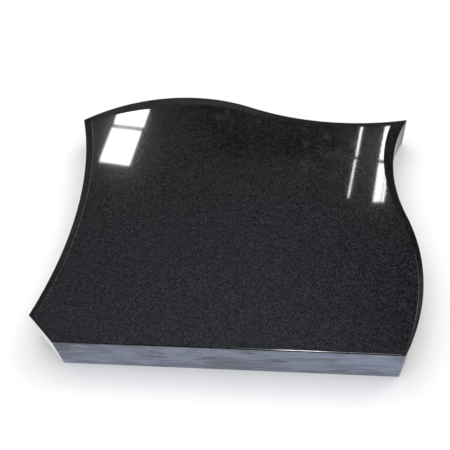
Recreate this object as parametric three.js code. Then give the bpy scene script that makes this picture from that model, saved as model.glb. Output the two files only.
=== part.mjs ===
// Polished black granite headstone with a wave top, lying on its back.
// Millimetres. +X runs across the face, +Y from the sawn foot to the wave top, +Z out of the face.
// The origin is the middle of the underside.

import * as THREE from 'three';

// The slab and its sawn foot. In the plan, x = 0 is the middle of the foot and y = 0 is the foot.
const THICKNESS = 80;
const FOOT_WIDTH = 588;

// Corners of the plan
const HEEL = new THREE.Vector2( - 353, 55 ); // upper end of the straight cut beside the foot
const TOP_LEFT = new THREE.Vector2( - 367, 565 );
const TOP_RIGHT = new THREE.Vector2( 353, 565 );
const FOOT_LEFT = new THREE.Vector2( - FOOT_WIDTH / 2, 0 );
const FOOT_RIGHT = new THREE.Vector2( FOOT_WIDTH / 2, 0 );

// The left side is one hollow arc. The top and the right side are S-curves: two arcs that meet
// at a turning point and share its direction there, in degrees from +X.
const LEFT_RADIUS = 860;
const TOP_TURN = new THREE.Vector2( 13, 607 );
const TOP_TURN_ANGLE = - 25;
const RIGHT_TURN = new THREE.Vector2( 325, 295 );
const RIGHT_TURN_ANGLE = - 73.5;

// The polished bevel round the face. Along the top it is broadest over the crest of the wave,
// and on the right it runs out towards the foot.
const BEVEL_DEPTH = 10;
const LEFT_BEVEL_WIDTH = 18;
const TOP_LEFT_BEVEL_WIDTH = 26;
const CREST = - 225;
const CREST_BEVEL_WIDTH = 41;
const TOP_RIGHT_BEVEL_WIDTH = 20;
const RIGHT_BEVEL_WIDTH = 24;
const RUN_OUT_WIDTH = 4;
const SWELL = 1.6; // how soon the bevel's width falls away from the crest
const ARRIS = 2; // the small edge along the foot and the cut

// Length of one facet along the curves
const FACET = 12;

const GRANITE = new THREE.Color( 0x2b2d31 );

const foot = makeSide( [ FOOT_RIGHT, FOOT_LEFT ], () => ARRIS, () => ARRIS );
const cut = makeSide( [ FOOT_LEFT, HEEL ], () => ARRIS, () => ARRIS );
const left = makeSide(
	arcOfRadius( HEEL, TOP_LEFT, LEFT_RADIUS ),
	() => LEFT_BEVEL_WIDTH,
	() => BEVEL_DEPTH );
const top = makeSide(
	sCurve( TOP_LEFT, TOP_TURN, TOP_TURN_ANGLE, TOP_RIGHT ),
	topBevelWidth,
	() => BEVEL_DEPTH );
const right = makeSide(
	sCurve( TOP_RIGHT, RIGHT_TURN, RIGHT_TURN_ANGLE, FOOT_RIGHT ),
	( { y } ) => THREE.MathUtils.mapLinear( y, 0, TOP_RIGHT.y, RUN_OUT_WIDTH, RIGHT_BEVEL_WIDTH ),
	( { y } ) => THREE.MathUtils.mapLinear( y, 0, TOP_RIGHT.y, ARRIS, BEVEL_DEPTH ) );

const headstone = new THREE.Mesh(
	slabGeometry( edgeRings( [ foot, cut, left, top, right ] ) ),
	new THREE.MeshStandardMaterial( { color: GRANITE, roughness: 0.08, metalness: 0 } ) );
headstone.name = 'headstone';

const part = new THREE.Group();
part.add( headstone );

export default part;

// Width of the bevel at a point of the top: it swells quickly from the left corner to the crest
// and falls away slowly to the right corner.
function topBevelWidth( { x } ) {

	if ( x < CREST ) {

		const short = ( CREST - x ) / ( CREST - TOP_LEFT.x );
		return THREE.MathUtils.lerp( CREST_BEVEL_WIDTH, TOP_LEFT_BEVEL_WIDTH, short ** SWELL );

	}

	const left = ( TOP_RIGHT.x - x ) / ( TOP_RIGHT.x - CREST );
	return THREE.MathUtils.lerp( TOP_RIGHT_BEVEL_WIDTH, CREST_BEVEL_WIDTH, left ** SWELL );

}

// Points on a circular arc round a centre, from one point to another the short way round.
function arcPoints( from, to, centre ) {

	const radius = from.distanceTo( centre );
	const start = from.clone().sub( centre ).angle();
	const turn = to.clone().sub( centre ).angle() - start;
	const sweep = Math.atan2( Math.sin( turn ), Math.cos( turn ) );
	const count = Math.round( Math.abs( sweep ) * radius / FACET );
	const points = [];
	for ( let i = 0; i <= count; i ++ ) {

		const angle = start + sweep * i / count;
		const spoke = new THREE.Vector2( Math.cos( angle ), Math.sin( angle ) ).multiplyScalar( radius );
		points.push( spoke.add( centre ) );

	}

	return points;

}

// An arc of a given radius whose centre lies to the left of the way from one end to the other.
function arcOfRadius( from, to, radius ) {

	const away = Math.sqrt( radius ** 2 - from.distanceToSquared( to ) / 4 );
	const towardsCentre = inward( direction( to, from ) );
	const centre = from.clone().lerp( to, 0.5 ).addScaledVector( towardsCentre, away );
	return arcPoints( from, to, centre );

}

// Two arcs that meet at the turning point, where both have the given direction.
function sCurve( from, turn, angle, to ) {

	const heading = THREE.MathUtils.degToRad( angle );
	const across = new THREE.Vector2( - Math.sin( heading ), Math.cos( heading ) );
	const centreFor = ( end ) => {

		const chord = end.clone().sub( turn );
		return turn.clone().addScaledVector( across, chord.lengthSq() / ( 2 * chord.dot( across ) ) );

	};

	const first = arcPoints( from, turn, centreFor( from ) );
	const second = arcPoints( turn, to, centreFor( to ) );
	return first.concat( second.slice( 1 ) );

}

// Unit vector from one point to the next.
function direction( from, to ) {

	return to.clone().sub( from ).normalize();

}

// Unit vector pointing into the stone, square to the way along the plan. The plan runs
// clockwise, so the stone is on the right-hand side.
function inward( way ) {

	return new THREE.Vector2( way.y, - way.x );

}

// One side of the plan: its outline points, the bevel's depth at each, and the points of
// the face's edge, inside the bevel. Width and depth follow from the place in the plan.
function makeSide( outline, bevelWidth, bevelDepth ) {

	const last = outline.length - 1;
	const face = outline.map( ( point, i ) => {

		const way = direction( outline[ Math.max( i - 1, 0 ) ], outline[ Math.min( i + 1, last ) ] );
		const width = bevelWidth( point );

		// The face's edge overruns both ends of the side, so that it crosses its neighbours'.
		let overrun = 0;
		if ( i === 0 ) overrun = - width;
		if ( i === last ) overrun = width;
		return point.clone().addScaledVector( inward( way ), width ).addScaledVector( way, overrun );

	} );
	return { outline, face, depth: outline.map( ( point ) => bevelDepth( point ) ) };

}

// Where two line pieces cross, or null.
function crossing( a, b, c, d ) {

	const ab = b.clone().sub( a );
	const cd = d.clone().sub( c );
	const ac = c.clone().sub( a );
	const along = ac.cross( cd ) / ab.cross( cd );
	const alongOther = ac.cross( ab ) / ab.cross( cd );
	const inside = along >= 0 && along <= 1 && alongOther >= 0 && alongOther <= 1;
	return inside ? a.clone().addScaledVector( ab, along ) : null;

}

// Ends the face edges of two neighbouring sides in one mitre point, where they cross.
function mitre( before, after ) {

	for ( let i = before.face.length - 1; i > 0; i -- ) {

		for ( let j = 1; j < after.face.length; j ++ ) {

			const point = crossing(
				before.face[ i - 1 ], before.face[ i ], after.face[ j - 1 ], after.face[ j ] );
			if ( point ) {

				before.face.fill( point, i );
				after.face.fill( point, 0, j );
				return point;

			}

		}

	}

	throw new Error( 'neighbouring bevels do not meet' );

}

// Walks round the plan and gives, for each outline point, the depth where the wall ends
// and the matching point of the face.
function edgeRings( sides ) {

	const neighbour = ( index ) => sides[ ( index + sides.length - 1 ) % sides.length ];
	const mitres = sides.map( ( side, index ) => mitre( neighbour( index ), side ) );
	const rings = [];
	sides.forEach( ( side, index ) => {

		const before = neighbour( index );
		const depthBefore = before.depth.at( - 1 );

		// Where a deep bevel starts at the end of a plain side, it leaves a notch in that side.
		if ( depthBefore < side.depth[ 0 ] ) {

			const inwards = inward( direction( before.outline.at( - 2 ), before.outline.at( - 1 ) ) );
			const notch = mitres[ index ].clone().addScaledVector( inwards, - ARRIS );
			rings.push( { outline: notch, depth: depthBefore, face: mitres[ index ] } );

		}

		for ( let i = 0; i < side.outline.length - 1; i ++ ) {

			rings.push( { outline: side.outline[ i ], depth: side.depth[ i ], face: side.face[ i ] } );

		}

	} );
	return rings;

}

// Closed solid: the underside, the walls up to the bevel, the bevel, and the flat face.
function slabGeometry( rings ) {

	const outline = rings.map( ( ring ) => ring.outline );
	const middle = new THREE.Box2().setFromPoints( outline ).getCenter( new THREE.Vector2() );
	const positions = [];
	const addPoint = ( point, z ) => {

		positions.push( point.x - middle.x, point.y - middle.y, z );
		return positions.length / 3 - 1;

	};

	const underside = rings.map( ( ring ) => addPoint( ring.outline, 0 ) );
	const wallTop = rings.map( ( ring ) => addPoint( ring.outline, THICKNESS - ring.depth ) );
	const faceCorner = new Map();
	for ( const { face } of rings ) {

		if ( ! faceCorner.has( face ) ) faceCorner.set( face, addPoint( face, THICKNESS ) );

	}

	const triangles = [];
	const addTriangle = ( a, b, c ) => {

		if ( a !== b && b !== c && c !== a ) triangles.push( a, b, c );

	};

	// A band between two rings that run clockwise.
	const addBand = ( lower, upper ) => lower.forEach( ( corner, i ) => {

		const next = ( i + 1 ) % lower.length;
		addTriangle( corner, upper[ i ], lower[ next ] );
		addTriangle( lower[ next ], upper[ i ], upper[ next ] );

	} );

	// A flat cap inside a ring.
	const addCap = ( ring, points, facesUp ) => {

		for ( const [ a, b, c ] of THREE.ShapeUtils.triangulateShape( points, [] ) ) {

			const turnsLeft = THREE.ShapeUtils.area( [ points[ a ], points[ b ], points[ c ] ] ) > 0;
			if ( turnsLeft === facesUp ) addTriangle( ring[ a ], ring[ b ], ring[ c ] );
			else addTriangle( ring[ a ], ring[ c ], ring[ b ] );

		}

	};

	addBand( underside, wallTop );
	addBand( wallTop, rings.map( ( ring ) => faceCorner.get( ring.face ) ) );
	addCap( underside, outline, false );
	addCap( [ ...faceCorner.values() ], [ ...faceCorner.keys() ], true );

	const geometry = new THREE.BufferGeometry();
	geometry.setAttribute( 'position', new THREE.Float32BufferAttribute( positions, 3 ) );
	geometry.setIndex( triangles );
	geometry.computeVertexNormals();
	return geometry;

}
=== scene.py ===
# Polished black granite headstone with a wave top, lying on its back on a pale floor.
# Metres: +X runs across the face, +Y from the sawn foot to the wave top, +Z out of the face.

import math

import bmesh
import bpy
from mathutils import Matrix, Vector, geometry, kdtree, noise


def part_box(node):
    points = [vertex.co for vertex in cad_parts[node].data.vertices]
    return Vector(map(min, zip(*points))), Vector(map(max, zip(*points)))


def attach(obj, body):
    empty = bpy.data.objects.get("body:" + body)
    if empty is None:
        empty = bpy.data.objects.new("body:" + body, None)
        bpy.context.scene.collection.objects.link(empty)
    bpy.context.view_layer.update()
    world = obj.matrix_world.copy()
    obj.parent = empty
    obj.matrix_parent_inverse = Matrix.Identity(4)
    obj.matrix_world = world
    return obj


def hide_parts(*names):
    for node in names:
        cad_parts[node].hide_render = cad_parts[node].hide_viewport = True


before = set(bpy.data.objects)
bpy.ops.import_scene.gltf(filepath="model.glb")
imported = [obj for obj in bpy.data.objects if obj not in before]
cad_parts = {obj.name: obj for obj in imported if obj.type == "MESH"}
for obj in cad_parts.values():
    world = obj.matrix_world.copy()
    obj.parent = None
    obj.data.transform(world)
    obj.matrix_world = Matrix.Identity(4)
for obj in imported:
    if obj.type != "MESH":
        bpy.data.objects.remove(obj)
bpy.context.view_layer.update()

MM = 0.001
LOW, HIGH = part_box("headstone")
THICKNESS = HIGH.z - LOW.z

# The plan, with x = 0 in the middle of the foot and y = 0 at the foot
FOOT_WIDTH = 588 * MM
HEEL = Vector((-353, 55)) * MM
TOP_LEFT = Vector((-367, 565)) * MM
TOP_RIGHT = Vector((353, 565)) * MM
FOOT_LEFT = Vector((-FOOT_WIDTH / 2, 0))
FOOT_RIGHT = Vector((FOOT_WIDTH / 2, 0))
LEFT_RADIUS = 860 * MM
TOP_TURN = Vector((13, 607)) * MM
TOP_TURN_ANGLE = math.radians(-25)
RIGHT_TURN = Vector((325, 295)) * MM
RIGHT_TURN_ANGLE = math.radians(-73.5)
PLAN_TO_FRAME = Vector((LOW.x - TOP_LEFT.x, LOW.y - FOOT_LEFT.y))

# The bevel round the face, broadest over the crest of the wave and run out down the right side
BEVEL_DEPTH = 10 * MM
LEFT_BEVEL_WIDTH = 18 * MM
TOP_LEFT_BEVEL_WIDTH = 26 * MM
CREST = -225 * MM
CREST_BEVEL_WIDTH = 41 * MM
TOP_RIGHT_BEVEL_WIDTH = 20 * MM
RIGHT_BEVEL_WIDTH = 24 * MM
RUN_OUT_WIDTH = 4 * MM
SWELL = 1.6  # how soon the bevel's width falls away from the crest
ARRIS = 2 * MM

# Small rounds where the flats meet
BACK_ROUND = 1.5 * MM
BROW_ROUND = 0.8 * MM  # between the wall and the bevel
FACE_ROUND = 2.5 * MM  # between the bevel and the face
CORNER_BLUNT = 0.4 * MM
SKIN = 0.05 * MM  # keeps the fine arcs inside the facets of the solid

# Spacing of the fine mesh
COLUMN_STEP = 3 * MM
CORNER_COLUMN = 0.35  # the extra column beside each corner, as a share of the spacing
BACK_ROWS = 5
WALL_ROWS = 44
BROW_ROWS = 4
FACE_ROWS = 4
CAP_STEP = 20 * MM
INSIDE_RIM = 1  # the kind of fill for a cap: only the triangles inside its rim
CAP_PRECISION = 1e-7
JOINED = 1e-6  # points closer than this are one
MITRE_REACH = 40  # columns from a corner in which neighbouring curves can cross
BLUNT_REACH = 6  # columns from a corner that show which way the stone lies

# Saw marks across the foot: long, nearly level scores, and finer ones between them
SAW_DEPTH = 0.35 * MM
SAW_PITCH = 5 * MM
SAW_FADE = 6 * MM  # how far in from the foot's edges they have their full depth
SAW_WANDER = 2 * MM  # how far a score strays up or down
FINE_SCORES = 3  # to one score
WANDER_RATE, SCORE_RATE, FINE_RATE = 2.5, 4, 9  # changes per metre along the foot
SCORE_SHARE, FINE_SHARE = 0.35, 0.15  # how much each changes the depth
WANDER_SEED, SCORE_SEED, FINE_SEED = 7, 3, 11

POLISHED, SAWN = 0, 1  # the two materials of the mesh
SHARP_ANGLE = math.radians(25)
FLAT_WEIGHT = 90  # how strongly the broad flats set the shading of their edges


def direction(start, end):
    return (end - start).normalized()


def inward(way):
    """Square to the way along the plan, into the stone: the plan runs clockwise."""
    return Vector((way.y, -way.x))


def arc(start, end, centre):
    """A circular arc the short way round, as a function of 0 to 1, and its length."""
    radius = (start - centre).length
    first = math.atan2(start.y - centre.y, start.x - centre.x)
    turn = math.atan2(end.y - centre.y, end.x - centre.x) - first
    sweep = math.atan2(math.sin(turn), math.cos(turn))

    def point(share):
        angle = first + sweep * share
        return centre + Vector((math.cos(angle), math.sin(angle))) * radius

    return point, abs(sweep) * radius


def arc_of_radius(start, end, radius):
    """An arc whose centre lies to the left of the way from start to end."""
    away = math.sqrt(radius**2 - (end - start).length_squared / 4)
    centre = start.lerp(end, 0.5) - inward(direction(start, end)) * away
    return [arc(start, end, centre)]


def s_curve(start, turn, angle, end):
    """Two arcs that meet at the turning point, where both have the given direction."""
    across = Vector((-math.sin(angle), math.cos(angle)))

    def centre_for(far):
        chord = far - turn
        return turn + across * (chord.length_squared / (2 * chord.dot(across)))

    return [arc(start, turn, centre_for(start)), arc(turn, end, centre_for(end))]


def straight(start, end):
    return [(lambda share: start.lerp(end, share), (end - start).length)]


def columns(pieces):
    """Evenly spaced points along joined curves, with an extra one beside each end."""
    points = []
    for point, length in pieces:
        count = round(length / COLUMN_STEP)
        points += [point(i / count) for i in range(count)]
    last_point, _ = pieces[-1]
    points.append(last_point(1))
    points.insert(1, points[0].lerp(points[1], CORNER_COLUMN))
    points.insert(-1, points[-1].lerp(points[-2], CORNER_COLUMN))
    return points


def section(width, depth):
    """The edge cut square to the outline: (inset, height) from the underside to the face."""
    rows = []
    for k in range(BACK_ROWS):
        angle = math.pi / 2 * k / BACK_ROWS
        rows.append((BACK_ROUND * (1 - math.sin(angle)), BACK_ROUND * (1 - math.cos(angle))))
    steep = math.atan2(width, depth)
    wall_top = THICKNESS - depth - BROW_ROUND * math.tan(steep / 2)
    for k in range(WALL_ROWS):
        rows.append((0, BACK_ROUND + (wall_top - BACK_ROUND) * k / WALL_ROWS))
    for k in range(BROW_ROWS + 1):
        angle = steep * k / BROW_ROWS
        rows.append((BROW_ROUND * (1 - math.cos(angle)), wall_top + BROW_ROUND * math.sin(angle)))
    flat = math.pi / 2 - steep
    face_edge = width + FACE_ROUND * math.tan(flat / 2)
    for k in range(FACE_ROWS, -1, -1):
        angle = flat * k / FACE_ROWS
        rows.append((face_edge - FACE_ROUND * math.sin(angle),
                     THICKNESS - FACE_ROUND * (1 - math.cos(angle))))
    return rows


WALL_START = BACK_ROWS
WALL_END = BACK_ROWS + WALL_ROWS


def saw_mark(along, height):
    """How deep the saw has bitten at a place on the foot."""
    wander = noise.noise(Vector((along * WANDER_RATE, 0, WANDER_SEED))) * SAW_WANDER
    level = (height + wander) / SAW_PITCH
    score = noise.noise(Vector((along * SCORE_RATE, level, SCORE_SEED)))
    fine = noise.noise(Vector((along * FINE_RATE, level * FINE_SCORES, FINE_SEED)))
    return SAW_DEPTH * (0.5 + SCORE_SHARE * score + FINE_SHARE * fine)


class Side:
    """One side of the plan from corner to corner, with its section at each column."""

    def __init__(self, points, bevel, sawn=False):
        self.points = points
        self.sections = [section(*bevel(point)) for point in points]
        self.sawn = sawn
        if sawn:
            self.add_saw_marks()

    def add_saw_marks(self):
        for point, rows in zip(self.points, self.sections):
            ends = min((point - self.points[0]).length, (point - self.points[-1]).length)
            for k in range(WALL_START, WALL_END):
                inset, height = rows[k]
                edges = min(ends, height - rows[WALL_START][1], rows[WALL_END][1] - height)
                fade = min(1, edges / SAW_FADE)
                rows[k] = (inset + saw_mark(point.x, height) * fade, height)

    def curve(self, row):
        """The side at one row of its section, run on past both ends so that neighbours cross."""
        last = len(self.points) - 1
        places = []
        for i, point in enumerate(self.points):
            inset, height = self.sections[i][row]
            inset += SKIN
            way = direction(self.points[max(i - 1, 0)], self.points[min(i + 1, last)])
            overrun = {0: -inset, last: inset}.get(i, 0)
            place = point + inward(way) * inset + way * overrun + PLAN_TO_FRAME
            places.append(Vector((place.x, place.y, height)))
        return places


def mitre(before, after):
    """Ends two neighbouring curves in one point, where they cross in the plan."""
    reach = min(MITRE_REACH, len(before), len(after))
    for i in range(len(before) - 1, len(before) - reach, -1):
        for j in range(1, reach):
            a, b, c, d = before[i - 1], before[i], after[j - 1], after[j]
            place = geometry.intersect_line_line_2d(a.xy, b.xy, c.xy, d.xy)
            if place:
                height_before = a.lerp(b, (place - a.xy).length / (b.xy - a.xy).length).z
                height_after = c.lerp(d, (place - c.xy).length / (d.xy - c.xy).length).z
                corner = Vector((place.x, place.y, (height_before + height_after) / 2))
                before[i:] = [corner] * (len(before) - i)
                after[:j] = [corner] * j
                return
    raise ValueError("neighbouring sides do not meet")


def blunt_corner(before, after):
    """Draws the corner that two curves share a little way into the stone."""
    corner = after[0]
    way_in = direction(corner, before[-BLUNT_REACH]) + direction(corner, after[BLUNT_REACH])
    blunt = corner + way_in.normalized() * CORNER_BLUNT
    for curve in before, after:
        curve[:] = [blunt if place is corner else place for place in curve]


def ring(sides, row):
    """One closed row round the stone, with the wall's corners a little blunt."""
    curves = [side.curve(row) for side in sides]
    for index in range(len(curves)):
        mitre(curves[index - 1], curves[index])
    if row <= WALL_END:
        for index in range(len(curves)):
            blunt_corner(curves[index - 1], curves[index])
    return [place for curve in curves for place in curve[:-1]]


def top_bevel_width(point):
    if point.x < CREST:
        short = (CREST - point.x) / (CREST - TOP_LEFT.x)
        return CREST_BEVEL_WIDTH + (TOP_LEFT_BEVEL_WIDTH - CREST_BEVEL_WIDTH) * short**SWELL
    left = (TOP_RIGHT.x - point.x) / (TOP_RIGHT.x - CREST)
    return TOP_RIGHT_BEVEL_WIDTH + (CREST_BEVEL_WIDTH - TOP_RIGHT_BEVEL_WIDTH) * left**SWELL


def headstone_sides():
    """Foot, cut, left, top and right, clockwise."""
    left_points = columns(arc_of_radius(HEEL, TOP_LEFT, LEFT_RADIUS))
    into_stone = inward(direction(left_points[0], left_points[1]))

    def plain(point):
        return ARRIS, ARRIS

    def beside_heel(point):
        # The left bevel runs on until it leaves the cut, and notches its upper edge.
        reach = into_stone.dot(point - HEEL) / LEFT_BEVEL_WIDTH
        return ARRIS, max(ARRIS, BEVEL_DEPTH * (1 - reach))

    def run_out(point):
        share = point.y / TOP_RIGHT.y
        width = RUN_OUT_WIDTH + (RIGHT_BEVEL_WIDTH - RUN_OUT_WIDTH) * share
        return width, ARRIS + (BEVEL_DEPTH - ARRIS) * share

    return [
        Side(columns(straight(FOOT_RIGHT, FOOT_LEFT)), plain, sawn=True),
        Side(columns(straight(FOOT_LEFT, HEEL)), beside_heel),
        Side(left_points, lambda point: (LEFT_BEVEL_WIDTH, BEVEL_DEPTH)),
        Side(columns(s_curve(TOP_LEFT, TOP_TURN, TOP_TURN_ANGLE, TOP_RIGHT)),
             lambda point: (top_bevel_width(point), BEVEL_DEPTH)),
        Side(columns(s_curve(TOP_RIGHT, RIGHT_TURN, RIGHT_TURN_ANGLE, FOOT_RIGHT)), run_out),
    ]


def add_cap(mesh, rim, facing):
    """Fills a level rim with triangles of even size, facing up (1) or down (-1)."""
    corners = [vertex.co.xy for vertex in rim]
    edges = [(i, (i + 1) % len(rim)) for i in range(len(rim))]
    near_rim = kdtree.KDTree(len(rim))
    for i, vertex in enumerate(rim):
        near_rim.insert((vertex.co.x, vertex.co.y, 0), i)
    near_rim.balance()
    inner = []
    for i in range(round((HIGH.x - LOW.x) / CAP_STEP)):
        for j in range(round((HIGH.y - LOW.y) / CAP_STEP)):
            place = Vector((LOW.x + (i + 0.5 + j % 2 / 2) * CAP_STEP, LOW.y + (j + 0.5) * CAP_STEP))
            _, _, gap = near_rim.find(place.to_3d())
            if gap > CAP_STEP / 2:
                inner.append(place)
    places, _, faces, origins, _, _ = geometry.delaunay_2d_cdt(
        corners + inner, edges, [], INSIDE_RIM, CAP_PRECISION)
    height = rim[0].co.z
    vertices = []
    for place, origin in zip(places, origins):
        on_rim = origin and origin[0] < len(rim)
        vertices.append(rim[origin[0]] if on_rim else mesh.verts.new((place.x, place.y, height)))
    for face in faces:
        filled = mesh.faces.new([vertices[i] for i in face])
        filled.normal_update()
        if filled.normal.z * facing < 0:
            filled.normal_flip()


def build_headstone():
    """The stone as one closed mesh: walls and bevels in rows, and two flat caps."""
    sides = headstone_sides()
    finish = []
    for side in sides:
        finish += [SAWN if side.sawn else POLISHED] * (len(side.points) - 1)
    mesh = bmesh.new()
    rings = []
    for row in range(len(sides[0].sections[0])):
        rings.append([mesh.verts.new(place) for place in ring(sides, row)])
    for row, (lower, upper) in enumerate(zip(rings, rings[1:])):
        for i in range(len(lower)):
            after = (i + 1) % len(lower)
            face = mesh.faces.new((lower[i], upper[i], upper[after], lower[after]))
            face.material_index = finish[i] if row < WALL_END else POLISHED
    bmesh.ops.remove_doubles(mesh, verts=mesh.verts, dist=JOINED)
    face_rim, back_rim = rim_of(mesh, THICKNESS), rim_of(mesh, 0)
    add_cap(mesh, face_rim, 1)
    add_cap(mesh, back_rim, -1)
    for face in mesh.faces:
        face.smooth = True
    data = bpy.data.meshes.new("headstone_stone")
    mesh.to_mesh(data)
    mesh.free()
    data.set_sharp_from_angle(angle=SHARP_ANGLE)
    return data


def rim_of(mesh, height):
    """The open edge of the rows at one height, in order round the stone."""
    edges = [edge for edge in mesh.edges if edge.is_boundary
             and all(abs(vertex.co.z - height) < JOINED for vertex in edge.verts)]
    around = {}
    for edge in edges:
        for vertex in edge.verts:
            around.setdefault(vertex, []).append(edge)
    vertex = edges[0].verts[0]
    edge = edges[0]
    rim = []
    while not rim or vertex != rim[0]:
        rim.append(vertex)
        vertex = edge.other_vert(vertex)
        first, second = around[vertex]
        edge = second if edge == first else first
    return rim


def flat_shading(stone):
    """Keeps the flats flat up to their rounds, by weighting normals with face area."""
    weighted = stone.modifiers.new("flats", "WEIGHTED_NORMAL")
    weighted.keep_sharp = True
    weighted.weight = FLAT_WEIGHT
    graph = bpy.context.evaluated_depsgraph_get()
    data = bpy.data.meshes.new_from_object(stone.evaluated_get(graph))
    stone.modifiers.clear()
    stone.data = data
    data.name = "headstone_stone"


class Tree:
    """A node tree, with a short way to add nodes and link them."""

    def __init__(self, owner):
        owner.use_nodes = True
        self.nodes = owner.node_tree.nodes
        self.links = owner.node_tree.links

    def add(self, kind, inputs, **settings):
        node = self.nodes.new(kind)
        for name, value in settings.items():
            setattr(node, name, value)
        self.feed(node, inputs)
        return node

    def feed(self, node, inputs):
        for name, value in inputs.items():
            if isinstance(value, bpy.types.NodeSocket):
                self.links.new(value, node.inputs[name])
            else:
                node.inputs[name].default_value = value

    def math(self, operation, a, b):
        return self.add("ShaderNodeMath", {0: a, 1: b}, operation=operation).outputs[0]

    def blend(self, share, a, b):
        """One colour mixed with another."""
        mix = self.add("ShaderNodeMix", {0: share, 6: a, 7: b}, data_type="RGBA")
        return mix.outputs[2]

    def ramp(self, share, stops):
        """A colour ramp: (position, colour) pairs."""
        node = self.add("ShaderNodeValToRGB", {0: share})
        elements = node.color_ramp.elements
        while len(elements) < len(stops):
            elements.new(1)
        for element, (position, colour) in zip(elements, stops):
            element.position = position
            element.color = (*colour, 1)
        return node.outputs[0]

    def remap(self, value, low, high, new_low, new_high):
        node = self.add("ShaderNodeMapRange", {
            0: value, 1: low, 2: high, 3: new_low, 4: new_high}, interpolation_type="SMOOTHSTEP")
        return node.outputs[0]

    def stretched(self, place, scale):
        node = self.add("ShaderNodeVectorMath", {0: place, 1: scale}, operation="MULTIPLY")
        return node.outputs[0]

    def noise(self, place, scale, detail):
        node = self.add("ShaderNodeTexNoise", {"Vector": place, "Scale": scale, "Detail": detail})
        return node.outputs["Fac"]

    def stretched_noise(self, place, scales, detail):
        """A noise with a scale of its own along each axis."""
        return self.noise(self.stretched(place, scales), 1, detail)

    def axes(self, vector):
        return self.add("ShaderNodeSeparateXYZ", {0: vector}).outputs

    def grain(self, place, size):
        """A random number for each grain of a given size."""
        cells = self.add("ShaderNodeTexVoronoi", {"Vector": place, "Scale": 1 / size})
        parts = self.add("ShaderNodeSeparateColor", {0: cells.outputs["Color"]})
        return parts.outputs[0]


GRANITE_IOR = 1.5
NOISE_MIDDLE = (0.3, 0.7)  # most of a noise lies between these

# Black granite: nearly black and grey grains, with finer bluish ones mixed in
COARSE_GRAIN = 2.1 * MM
FINE_GRAIN = 1.3 * MM
COARSE_COLOURS = [
    (0.0, (0.0003, 0.0003, 0.0003)),
    (0.42, (0.0012, 0.0012, 0.0013)),
    (0.58, (0.0200, 0.0205, 0.0217)),
    (1.0, (0.0270, 0.0278, 0.0298)),
]
FINE_COLOURS = [
    (0.0, (0.0006, 0.0006, 0.0006)),
    (0.5, (0.0025, 0.0027, 0.0031)),
    (1.0, (0.0250, 0.0272, 0.0332)),
]
FINE_GRAIN_SHARE = 0.35
CLOUDS = (18, 3)  # the scale and the detail of a noise
CLOUD = (0.0045, 0.0047, 0.005, 1)
CLOUD_SHARE = 0.2
HAZE_PATCHES = (9, 2)
HAZE = (0.13, 0.18)  # lowest and highest roughness of the stone under its polish
STONE_GLOSS = 0.05
POLISH_ROUGHNESS = 0.035


def polished_granite():
    """Black granite: fine grey and bluish flecks in a nearly black ground, under a mirror polish."""
    material = bpy.data.materials.new("black_granite")
    tree = Tree(material)
    place = tree.add("ShaderNodeTexCoord", {}).outputs["Object"]
    coarse = tree.ramp(tree.grain(place, COARSE_GRAIN), COARSE_COLOURS)
    fine = tree.ramp(tree.grain(place, FINE_GRAIN), FINE_COLOURS)
    stone = tree.blend(FINE_GRAIN_SHARE, coarse, fine)
    cloud = tree.remap(tree.noise(place, *CLOUDS), *NOISE_MIDDLE, 0, CLOUD_SHARE)
    tree.feed(tree.nodes["Principled BSDF"], {
        "Base Color": tree.blend(cloud, stone, CLOUD),
        "Roughness": tree.remap(tree.noise(place, *HAZE_PATCHES), *NOISE_MIDDLE, *HAZE),
        "IOR": GRANITE_IOR,
        "Specular IOR Level": STONE_GLOSS,
        "Coat Weight": 1.0,
        "Coat Roughness": POLISH_ROUGHNESS,
        "Coat IOR": GRANITE_IOR,
    })
    return material


# Olive stains on the foot: middle along it and above the ground, half width, half height, strength
STAINS = [
    (-0.285, 0.066, 0.045, 0.019, 0.90),
    (-0.225, 0.078, 0.090, 0.009, 0.80),
    (-0.122, 0.047, 0.026, 0.020, 0.62),
    (-0.012, 0.034, 0.036, 0.020, 0.54),
    (0.048, 0.067, 0.014, 0.005, 0.66),
    (0.098, 0.040, 0.020, 0.006, 0.66),
    (0.203, 0.012, 0.020, 0.006, 0.66),
]
STAIN = (0.088, 0.094, 0.098, 1)
STAIN_EDGE = (0.3, 1.4)  # a stain fades between these shares of its half width and half height
STAIN_RAGGEDNESS = 0.7  # how far the noise moves that edge in or out

# The sawn foot. A noise here has its scales along X, Y and Z, and then its detail.
STREAKS = (11, 11, 150), 4
STREAK_COLOURS = [
    (0.32, (0.120, 0.139, 0.186)),
    (0.5, (0.215, 0.247, 0.330)),
    (0.68, (0.305, 0.350, 0.466)),
]
STREAK_ROUGHNESS = (0.55, 0.75)
FINE_STREAKS = (30, 30, 700), 3
FINE_STREAK = (0.125, 0.143, 0.192, 1)
FINE_STREAK_SHARE = 0.35
PALE_PATCHES = (20, 20, 56), 3
PALE_PATCH = (0.285, 0.326, 0.440, 1)
PALE_PATCH_SLANT = math.radians(20)
DULL_PATCHES = (11, 11, 40), 4
DULL_PATCH = (0.120, 0.138, 0.174, 1)
PATCH_SHARE = 0.6
RAGGED_EDGES = (45, 45, 190), 4
SPECK_GRAIN = 1.6 * MM
SPECK = (0.08, 0.085, 0.10, 1)
SPECK_SHARE = 0.24
# Painted shade: the foot is darkened in a band just above the ground, where it meets the floor
PAINTED_GROUND_SHADE = (0.07, 0.074, 0.085, 1)
PAINTED_GROUND_SHADE_SHARE = 0.55
PAINTED_GROUND_SHADE_HEIGHT = 5 * MM  # height of the painted shade line along the ground
SCRATCHES = (12, 12, 1500), 3
SCRATCH_DEPTH = 0.25 * MM
SCRATCH_STRENGTH = 0.6


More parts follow.
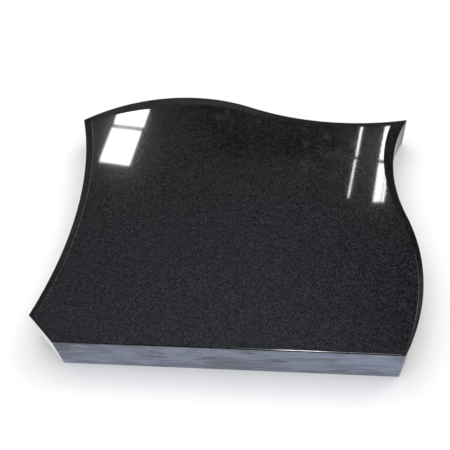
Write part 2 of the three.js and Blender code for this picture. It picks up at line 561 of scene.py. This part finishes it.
def stained(tree, place, body):
    """The body colour with its stains, whose edges are broken up by a noise."""
    edges = tree.stretched_noise(place, *RAGGED_EDGES)
    ragged = tree.remap(edges, 0.25, 0.75, -STAIN_RAGGEDNESS, STAIN_RAGGEDNESS)
    for x, z, half_width, half_height, strength in STAINS:
        away = tree.add("ShaderNodeVectorMath", {0: place, 1: (x, 0, z)}, operation="SUBTRACT")
        flat = tree.stretched(away.outputs[0], (1 / half_width, 0, 1 / half_height))
        reach = tree.add("ShaderNodeVectorMath", {0: flat}, operation="LENGTH").outputs["Value"]
        share = tree.remap(tree.math("ADD", reach, ragged), *STAIN_EDGE, strength, 0)
        body = tree.blend(share, body, STAIN)
    return body


def sawn_granite():
    """The sawn foot: bluish grey stone dust in level streaks, with soft patches and stains, and painted
    shade along the ground.
    """
    material = bpy.data.materials.new("sawn_granite")
    tree = Tree(material)
    place = tree.add("ShaderNodeTexCoord", {}).outputs["Object"]
    streaks = tree.stretched_noise(place, *STREAKS)
    body = tree.ramp(streaks, STREAK_COLOURS)
    fine = tree.remap(tree.stretched_noise(place, *FINE_STREAKS), *NOISE_MIDDLE, 0, FINE_STREAK_SHARE)
    body = tree.blend(fine, body, FINE_STREAK)
    pale_scales, pale_detail = PALE_PATCHES
    slanted = tree.add("ShaderNodeMapping", {
        "Vector": place, "Rotation": (0, PALE_PATCH_SLANT, 0), "Scale": pale_scales})
    pale = tree.remap(tree.noise(slanted.outputs[0], 1, pale_detail), 0.46, 0.6, 0, PATCH_SHARE)
    body = tree.blend(pale, body, PALE_PATCH)
    dull = tree.remap(tree.stretched_noise(place, *DULL_PATCHES), 0.5, 0.66, 0, PATCH_SHARE)
    body = tree.blend(dull, body, DULL_PATCH)
    body = stained(tree, place, body)
    speck = tree.remap(tree.grain(place, SPECK_GRAIN), 0, 1, 0, SPECK_SHARE)
    body = tree.blend(speck, body, SPECK)
    # painted shade: darker towards the ground
    painted_ground_shade = tree.remap(tree.axes(place)[2], 0, PAINTED_GROUND_SHADE_HEIGHT, PAINTED_GROUND_SHADE_SHARE, 0)
    body = tree.blend(painted_ground_shade, body, PAINTED_GROUND_SHADE)
    scratches = tree.add("ShaderNodeBump", {
        "Strength": SCRATCH_STRENGTH, "Distance": SCRATCH_DEPTH,
        "Height": tree.stretched_noise(place, *SCRATCHES)})
    tree.feed(tree.nodes["Principled BSDF"], {
        "Base Color": body,
        "Roughness": tree.remap(streaks, *NOISE_MIDDLE, *STREAK_ROUGHNESS),
        "IOR": GRANITE_IOR,
        "Normal": scratches.outputs[0],
    })
    return material


def add_headstone():
    stone = bpy.data.objects.new("headstone_stone", build_headstone())
    bpy.context.scene.collection.objects.link(stone)
    stone.data.materials.append(polished_granite())
    stone.data.materials.append(sawn_granite())
    flat_shading(stone)
    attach(stone, "root")
    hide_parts("headstone")


def add_stage_panel(name, corners, material):
    """A flat four-sided panel that isn't part of the object."""
    data = bpy.data.meshes.new(name)
    data.from_pydata(corners, [], [(0, 1, 2, 3)])
    data.materials.append(material)
    panel = bpy.data.objects.new(name, data)
    bpy.context.scene.collection.objects.link(panel)
    return panel


# The floor and the wall that it sweeps up into
FLOOR_RADIUS = 4.0
WALL_RADIUS = 6.0
WALL_HEIGHT = 3.6
SWEEP_STEPS = 12
STAGE_SIDES = 96
FLOOR_COLOUR = (0.88, 0.88, 0.885, 1)
FLOOR_ROUGHNESS = 0.9
FLOOR_GLOSS = 0.1


def stage_circle(radius, height):
    angles = [2 * math.pi * k / STAGE_SIDES for k in range(STAGE_SIDES)]
    return [Vector((radius * math.cos(angle), radius * math.sin(angle), height)) for angle in angles]


def add_floor():
    """A round pale floor that sweeps up into a wall, left out of mirror reflections."""
    circles = [stage_circle(FLOOR_RADIUS, 0)]
    sweep_radius = WALL_RADIUS - FLOOR_RADIUS
    for k in range(1, SWEEP_STEPS + 1):
        angle = math.pi / 2 * k / SWEEP_STEPS
        circles.append(stage_circle(FLOOR_RADIUS + sweep_radius * math.sin(angle),
                                    sweep_radius * (1 - math.cos(angle))))
    circles.append(stage_circle(WALL_RADIUS, WALL_HEIGHT))
    mesh = bmesh.new()
    rings = [[mesh.verts.new(place) for place in circle] for circle in circles]
    mesh.faces.new(rings[0])
    for inner, outer in zip(rings, rings[1:]):
        for k in range(STAGE_SIDES):
            after = (k + 1) % STAGE_SIDES
            mesh.faces.new((inner[k], outer[k], outer[after], inner[after])).smooth = True
    data = bpy.data.meshes.new("floor")
    mesh.to_mesh(data)
    mesh.free()
    material = bpy.data.materials.new("floor")
    tree = Tree(material)
    tree.feed(tree.nodes["Principled BSDF"], {
        "Base Color": FLOOR_COLOUR, "Roughness": FLOOR_ROUGHNESS, "Specular IOR Level": FLOOR_GLOSS})
    data.materials.append(material)
    floor = bpy.data.objects.new("floor", data)
    floor.visible_glossy = False
    bpy.context.scene.collection.objects.link(floor)


def glowing(name, strength):
    """A plain light-giving surface. The strength is a number, or follows from the place on it."""
    material = bpy.data.materials.new(name)
    tree = Tree(material)
    tree.nodes.clear()
    light = tree.add("ShaderNodeEmission", {"Color": (1, 1, 1, 1)})
    tree.feed(light, {"Strength": strength(tree) if callable(strength) else strength})
    tree.add("ShaderNodeOutputMaterial", {"Surface": light.outputs[0]})
    return material


# Bright panels that the face mirrors, in one upright plane behind the stone. Corners: x and height.
PANEL_PLANE = 3.0
BRIGHT, SOFT, DIM = 22, 7, 3.5
PANELS = {
    "pane_high": (BRIGHT, (-1.404, 2.670), (-1.154, 2.710), (-1.344, 3.132), (-1.615, 3.079)),
    "pane_low": (BRIGHT, (-1.377, 2.625), (-1.129, 2.663), (-1.040, 2.462), (-1.290, 2.425)),
    "pane_bar": (DIM, (-1.404, 2.670), (-1.154, 2.710), (-1.129, 2.663), (-1.377, 2.625)),
    "thin_low": (BRIGHT, (0.661, 2.640), (0.679, 2.640), (0.667, 2.994), (0.650, 2.994)),
    "thin_high": (BRIGHT, (0.646, 3.030), (0.661, 3.030), (0.640, 3.530), (0.626, 3.530)),
    "broad_low": (BRIGHT, (0.856, 2.640), (0.940, 2.640), (0.944, 3.032), (0.853, 3.032)),
    "broad_high": (BRIGHT, (0.853, 3.076), (0.922, 3.076), (0.925, 3.585), (0.861, 3.585)),
    "broad_bar": (SOFT, (0.922, 3.076), (0.932, 3.076), (0.935, 3.585), (0.925, 3.585)),
    "broad_side": (BRIGHT, (0.932, 3.076), (0.957, 3.076), (0.960, 3.585), (0.935, 3.585)),
}

# A tall soft light in front. The flat arris over the foot mirrors the dark below it, and only the
# small round beside the face mirrors the light itself, brightest in one place.
FRONT_PLANE = -2.44
FRONT_LEFT, FRONT_RIGHT = -0.30, 1.05
FRONT_LOW, FRONT_HIGH = 1.4, 4.0
FRONT_BRIGHT, FRONT_DIM = 48, 6
BRIGHTEST = 0.20  # x of its brightest line
BRIGHT_CORE, BRIGHT_REACH = 0.09, 0.22  # the light falls off between these distances from it
SOFT_EDGE = 0.25


def front_strength(tree):
    """Brightest along one upright line, fading softly to nothing at the light's edges."""
    place = tree.axes(tree.add("ShaderNodeTexCoord", {}).outputs["Object"])
    aside = tree.math("ABSOLUTE", tree.math("SUBTRACT", place[0], BRIGHTEST), 0)
    strength = tree.remap(aside, BRIGHT_CORE, BRIGHT_REACH, FRONT_BRIGHT, FRONT_DIM)
    for axis, low, high in (0, FRONT_LEFT, FRONT_RIGHT), (2, FRONT_LOW, FRONT_HIGH):
        rise = tree.remap(place[axis], low, low + SOFT_EDGE, 0, 1)
        fall = tree.remap(place[axis], high - SOFT_EDGE, high, 1, 0)
        strength = tree.math("MULTIPLY", strength, tree.math("MULTIPLY", rise, fall))
    return strength


def add_mirrored_panel(name, corners, material):
    """A panel that only mirror reflections show."""
    panel = add_stage_panel(name, corners, material)
    panel.visible_camera = False
    panel.visible_diffuse = False


def add_mirrored_panels():
    lights = {strength: glowing(f"panel_light_{strength}", strength) for strength in (BRIGHT, SOFT, DIM)}
    for name, (strength, *corners) in PANELS.items():
        add_mirrored_panel(name, [(x, PANEL_PLANE, z) for x, z in corners], lights[strength])
    front = [(FRONT_LEFT, FRONT_LOW), (FRONT_RIGHT, FRONT_LOW),
             (FRONT_RIGHT, FRONT_HIGH), (FRONT_LEFT, FRONT_HIGH)]
    add_mirrored_panel("front_light", [(x, FRONT_PLANE, z) for x, z in front],
                       glowing("front_light", front_strength))


OVERHEAD_SIZE = 7.0
OVERHEAD_HEIGHT = 4.0
OVERHEAD_POWER = 270
OVERHEAD_COLOUR = (1.0, 0.985, 0.965)


def add_overhead_light():
    """A broad soft light above, left out of mirror reflections."""
    data = bpy.data.lights.new("overhead", "AREA")
    data.shape = "SQUARE"
    data.size = OVERHEAD_SIZE
    data.energy = OVERHEAD_POWER
    data.color = OVERHEAD_COLOUR
    light = bpy.data.objects.new("overhead", data)
    light.location = (0, 0, OVERHEAD_HEIGHT)
    light.visible_glossy = False
    bpy.context.scene.collection.objects.link(light)


# What the polish mirrors besides the panels: grey by the sine of the elevation, from level to overhead
SKY = [
    (0.0, (0.05, 0.05, 0.047)),
    (0.10, (0.14, 0.14, 0.135)),
    (0.20, (0.12, 0.12, 0.115)),
    (0.34, (0.02, 0.02, 0.02)),
    (0.62, (0.085, 0.084, 0.088)),
    (0.72, (0.155, 0.166, 0.172)),
    (0.78, (0.218, 0.242, 0.270)),
    (0.88, (0.330, 0.370, 0.450)),
    (1.0, (0.340, 0.380, 0.460)),
]
SKY_RIGHT = (0.025, 0.025, 0.025, 1)
SKY_RIGHT_SHARE = 0.8
BELOW_LEFT = (0.85, 0.85, 0.85, 1)
BELOW_RIGHT = (0.45, 0.45, 0.45, 1)

# Where one passes into the next, by how far a direction points to the right or up, -1 to 1
SKY_TO_RIGHT = (-0.05, 0.3)
BELOW_TO_RIGHT = (-0.3, 0.3)
BELOW_TO_SKY = (-0.5, -0.2)

# Soft patches, in degrees: azimuth from straight behind the stone to the right, elevation,
# half width and half height, then strength
GLOWS = [
    (-42, 27, 14, 6, 5.0),
    (50, 45, 16, 10, 4.0),
    (70, 31, 20, 13, 0.35),
]
PATCH_CORE = 0.6  # share of a patch that has its full strength

# A dark patch, blotted by a noise of the given scale and detail, and beside it faint lights that
# are broken up by another. Both are measured as above.
DARK_PATCH = (-3, 42.3, 11, 3.8)
DARK = (0, 0, 0, 1)
BLOTS = (26, 3)
BLOT_SHARES = (0.9, 0.5)
MOTTLES = [
    (-6, 41, 5, 2.5, 0.4),
    (5, 43.5, 6, 4.5, 0.45),
]
SPOTS = (70, 4)


def sky_patch(tree, way, azimuth, elevation, half_width, half_height):
    """1 inside a patch of the surroundings, falling softly to 0 at its edge."""
    turned = tree.add("ShaderNodeVectorRotate", {
        "Vector": way, "Angle": math.radians(azimuth)}, rotation_type="Z_AXIS")
    along = tree.axes(turned.outputs[0])
    aside = tree.math("ABSOLUTE", tree.math("ARCTAN2", along[0], along[1]), 0)
    height = tree.math("SUBTRACT", tree.math("ARCSINE", along[2], 0), math.radians(elevation))
    above = tree.math("ABSOLUTE", height, 0)
    reach, rise = math.radians(half_width), math.radians(half_height)
    return tree.math("MULTIPLY", tree.remap(aside, reach * PATCH_CORE, reach, 1, 0),
                     tree.remap(above, rise * PATCH_CORE, rise, 1, 0))


def add_surroundings():
    """Dim low down and bright overhead, darker to the right, with soft glows; pale below."""
    world = bpy.data.worlds.new("studio")
    bpy.context.scene.world = world
    tree = Tree(world)
    way = tree.add("ShaderNodeTexCoord", {}).outputs["Generated"]
    along = tree.axes(way)
    sky = tree.ramp(along[2], SKY)
    sky = tree.blend(tree.remap(along[0], *SKY_TO_RIGHT, 0, SKY_RIGHT_SHARE), sky, SKY_RIGHT)
    below = tree.blend(tree.remap(along[0], *BELOW_TO_RIGHT, 0, 1), BELOW_LEFT, BELOW_RIGHT)
    sky = tree.blend(tree.remap(along[2], *BELOW_TO_SKY, 1, 0), sky, below)
    blots = tree.remap(tree.noise(way, *BLOTS), 0.35, 0.65, *BLOT_SHARES)
    dark = tree.math("MULTIPLY", sky_patch(tree, way, *DARK_PATCH), blots)
    sky = tree.blend(dark, sky, DARK)
    spots = tree.remap(tree.noise(way, *SPOTS), 0.5, 0.72, 0, 1)
    for patches, breaks in (GLOWS, 1), (MOTTLES, spots):
        for *place, strength in patches:
            glow = tree.math("MULTIPLY", sky_patch(tree, way, *place), strength)
            glow = tree.math("MULTIPLY", glow, breaks)
            sky = tree.add("ShaderNodeVectorMath", {0: sky, 1: glow}, operation="ADD").outputs[0]
    tree.feed(tree.nodes["Background"], {"Color": sky, "Strength": 1.0})


CAMERA_PLACE = Vector((0.1145, -0.7895, 1.0045))
CAMERA_HEADING = math.radians(9.753)
CAMERA_TILT = math.radians(-51.381)
CAMERA_ROLL = math.radians(6.622)
CAMERA_LENS = 49.6  # millimetres, as is the width of the sensor
SENSOR_WIDTH = 36


def add_camera():
    data = bpy.data.cameras.new("camera")
    data.sensor_width = SENSOR_WIDTH
    data.lens = CAMERA_LENS
    camera = bpy.data.objects.new("camera", data)
    level = Matrix.Rotation(math.pi / 2, 4, "X")
    turn = (Matrix.Rotation(CAMERA_HEADING, 4, "Z") @ Matrix.Rotation(CAMERA_TILT, 4, "X")
            @ Matrix.Rotation(CAMERA_ROLL, 4, "Y"))
    camera.matrix_world = Matrix.Translation(CAMERA_PLACE) @ turn @ level
    bpy.context.scene.collection.objects.link(camera)
    bpy.context.scene.camera = camera


add_camera()
add_headstone()
add_floor()
add_mirrored_panels()
add_overhead_light()
add_surroundings()
bpy.context.scene.view_settings.view_transform = "Standard"
